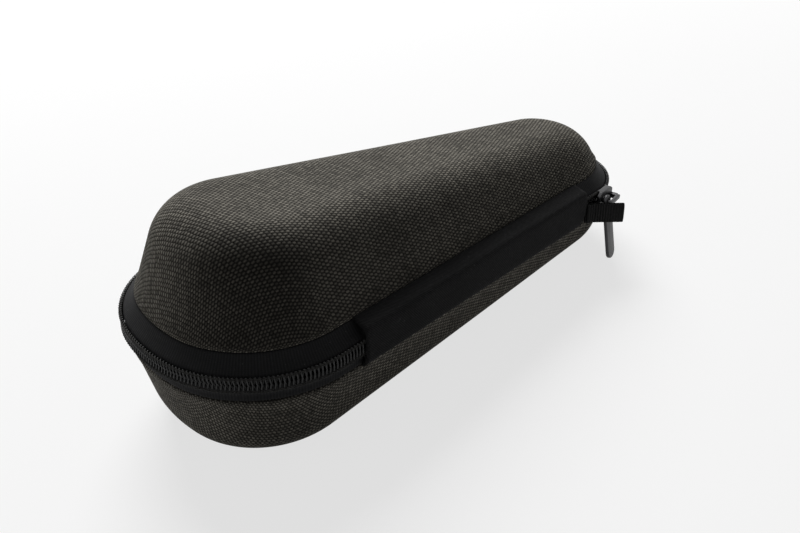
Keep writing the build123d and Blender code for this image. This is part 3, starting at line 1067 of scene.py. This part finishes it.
# The folded webbing runs from its root to a bend and on to its end, round the bend on a square curve
# (1 - t)^2 early + 2 t (1 - t) bend + t^2 late. It turns on a half circle and comes back beside itself.
# Both faces of its strip lie in between two ribs, by rib height * (1 - cosine of the path).
def makeTab():
    taper, lean = math.radians(rim["sideTaper"]), math.radians(tab["angle"])
    sideOut = np.array([math.cos(math.radians(-sideAngle)), math.sin(math.radians(-sideAngle))])
    sideOn = np.array([math.cos(taper), math.sin(taper)])
    start = onRim(np.array([rimTotal + runAtSide(hingeFar)]))[0]
    root = start[0, :2] + sideOn * tab["rootGap"] + sideOut * (tab["thick"] / 2 + tab["rootGap"])
    bend = root + sideOn * tab["root"]
    end = bend + np.array([math.cos(lean), -math.sin(lean)]) * tab["reach"]
    share = np.linspace(0, 1, tab["bendSteps"])[:, None]
    early = root + (bend - root) * tab["bendFrom"]
    late = bend + (end - bend) * tab["bendTo"]
    curve = (1 - share) ** 2 * early + 2 * share * (1 - share) * bend + share**2 * late
    spine = np.vstack([root[None], curve, end[None]])
    run = runLength(spine)
    fine = np.arange(0, run[-1], tab["step"])
    line = np.stack([np.interp(fine, run, spine[:, k]) for k in (0, 1)], axis=1)
    along, across = headings(line)
    away = (tab["thick"] - tab["layer"]) / 2
    turn = np.linspace(0.5 * math.pi, -0.5 * math.pi, tab["tipSteps"])[1:-1]
    tip = line[-1] + away * (np.cos(turn)[:, None] * along[-1] + np.sin(turn)[:, None] * across[-1])
    path = np.vstack([line + across * away, tip, (line - across * away)[::-1]])
    step = runLength(path)
    half, width = tab["layer"] / 2, tab["width"] / 2
    corners = [(-half, -width), (half, -width), (half, width), (-half, width)]
    outline = roundedSection(corners, passes=3, share=0.2)
    rib = tab["ribHeight"] * np.cos(2 * math.pi * step / tab["ribPitch"])
    offset = outline[:, :1] + np.sign(outline[:, :1]) * (rib[None] - tab["ribHeight"])
    plan = path[None] + headings(path)[1][None] * offset[..., None]
    level = np.broadcast_to(outline[:, 1:] - tab["drop"], offset.shape)
    grid = np.concatenate([plan, level[..., None]], axis=-1)
    cloth = np.stack(np.broadcast_arrays(step[None], outline[:, 1:]), axis=-1)
    piece = makePiece("pullTab", [grid] + endCaps(grid), [cloth], merge=tab["merge"])
    finish(piece, "base", ribbed["grosgrain"], ["pull_tab"])
    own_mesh(piece)


makeTab()

metalParts = {
    "slider_body": {"name": "sliderBody", "body": "slider", "edge": 0.18},
    "slider_bridge": {"name": "sliderBridge", "body": "slider", "edge": 0.22},
    "puller": {"name": "zipPuller", "body": "puller", "edge": 0.12},
}
metalMesh = {"merge": 0.002, "joinFlats": 1.0, "segments": 3, "edgeAngle": 32}


# A copy of a CAD node's mesh, merged and with its flat faces joined, so that its edges can be rounded.
def roundedCopy(node, part):
    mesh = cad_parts[node].data.copy()
    mesh.name = part["name"]
    cleanMesh(mesh, metalMesh["merge"], joinFlats=metalMesh["joinFlats"])
    piece = addObject(part["name"], mesh)
    addModifier(piece, "edges", "BEVEL", width=part["edge"] * mm, segments=metalMesh["segments"],
                limit_method="ANGLE", angle_limit=math.radians(metalMesh["edgeAngle"]), harden_normals=True)
    finish(piece, part["body"], gunmetal, [node])


for node, part in metalParts.items():
    roundedCopy(node, part)
for node in ("lid_foam_shell", "base_foam_shell"):
    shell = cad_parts[node]
    shell.data.materials.clear()
    shell.data.materials.append(foamBlack)
print("slider made")

studio = {
    "floorSize": 6.0,
    "floorColour": (0.86, 0.86, 0.86, 1),
    "floorSpecular": 0.5,
    "floorRough": 0.9,
    "floorGlow": 0.72,
    "fadeFrom": 0.25,
    "fadeTo": 0.8,
    "worldColour": (1, 1, 1, 1),
    "worldFill": 0.07,
    "lampAim": (0, 0, 0.03),
}
lamps = {
    "topSoftbox": {"place": (0.50, 0.95, 1.02), "size": 1.0, "power": 26.5},
    "leftSoftbox": {"place": (-1.2, 0.35, 0.6), "size": 0.7, "power": 0.5},
}


# 1 where a surface is seen, also in a reflection or through glass, and 0 where it lights the case.
def seenRays(w):
    path = w.node("ShaderNodeLightPath").outputs
    seen = w.math("MAXIMUM", path["Is Camera Ray"], path["Is Glossy Ray"])
    return w.math("MAXIMUM", seen, path["Is Transmission Ray"])


# The floor takes shadows by the case, and fades to plain white away from it.
def makeFloor():
    size = studio["floorSize"]
    mesh = bpy.data.meshes.new("floor")
    corners = [(-size, -size, 0), (size, -size, 0), (size, size, 0), (-size, size, 0)]
    mesh.from_pydata(corners, [], [(0, 1, 2, 3)])
    material, w, surface = newMaterial("paleFloor", studio["floorSpecular"])
    w.put(surface["Base Color"], studio["floorColour"])
    w.put(surface["Roughness"], studio["floorRough"])
    away = w.node("ShaderNodeVectorMath", {0: objectMap(w)}, operation="LENGTH").outputs["Value"]
    fade = w.remap(away, studio["fadeFrom"], studio["fadeTo"], studio["floorGlow"], 1.0)
    nodes = material.node_tree.nodes
    plain, glow = nodes["Principled BSDF"].outputs[0], w.node("ShaderNodeEmission").outputs[0]
    shown = w.node("ShaderNodeMixShader", {0: w.math("MULTIPLY", seenRays(w), fade), 1: plain, 2: glow})
    w.put(nodes["Material Output"].inputs["Surface"], shown.outputs[0])
    mesh.materials.append(material)
    addObject("floor", mesh)


def makeWorld():
    world = bpy.data.worlds.new("studio")
    world.use_nodes = True
    bpy.context.scene.world = world
    w = Wires(world.node_tree)
    ground = world.node_tree.nodes["Background"].inputs
    w.put(ground["Color"], studio["worldColour"])
    fill = studio["worldFill"]
    w.put(ground["Strength"], w.math("MULTIPLY_ADD", seenRays(w), 1 - fill, fill))


def addLamp(name, place, size, power):
    data = bpy.data.lights.new(name, "AREA")
    data.shape, data.size, data.energy = "DISK", size, power
    lamp = addObject(name, data)
    lamp.location = place
    aim = Vector(studio["lampAim"]) - Vector(place)
    lamp.rotation_euler = aim.to_track_quat("-Z", "Y").to_euler()


camera = {
    "azimuth": -40.16,  # degrees
    "elevation": 29.68,
    "roll": -1.10,
    "distance": 319.4,
    "focal": 979.2,  # in pixels, as are the four below
    "middleX": 396.8,
    "middleY": 239.8,
    "imageWidth": 800,
    "imageHeight": 533,
    "sensor": 36.0,
    "clipStart": 0.01,
}


# The camera looks at the seam plane's middle, from an azimuth and elevation taken in the seam's axes.
def makeCamera():
    turn, rise = math.radians(camera["azimuth"]), math.radians(camera["elevation"])
    roll = math.radians(camera["roll"])
    back = Vector((math.sin(turn) * math.cos(rise), -math.cos(turn) * math.cos(rise), math.sin(rise)))
    level = Vector((0, 0, 1)).cross(back).normalized()
    upright = back.cross(level)
    right = level * math.cos(roll) + upright * math.sin(roll)
    up = upright * math.cos(roll) - level * math.sin(roll)
    width, height = camera["imageWidth"], camera["imageHeight"]
    data = bpy.data.cameras.new("camera")
    data.sensor_width = camera["sensor"]
    data.lens = camera["focal"] * camera["sensor"] / width
    data.shift_x = (width / 2 - camera["middleX"]) / width
    data.shift_y = (camera["middleY"] - height / 2) / width
    data.clip_start = camera["clipStart"]
    view = addObject("camera", data)
    axes = Matrix([worldTurn(*axis) for axis in (right, up, back)]).transposed().to_4x4()
    view.matrix_world = Matrix.Translation(worldPoint(*(back * camera["distance"]))) @ axes
    bpy.context.scene.camera = view


makeFloor()
makeWorld()
for name, lamp in lamps.items():
    addLamp(name, **lamp)
makeCamera()
bpy.context.scene.view_settings.view_transform = "Standard"

print("scene ready")
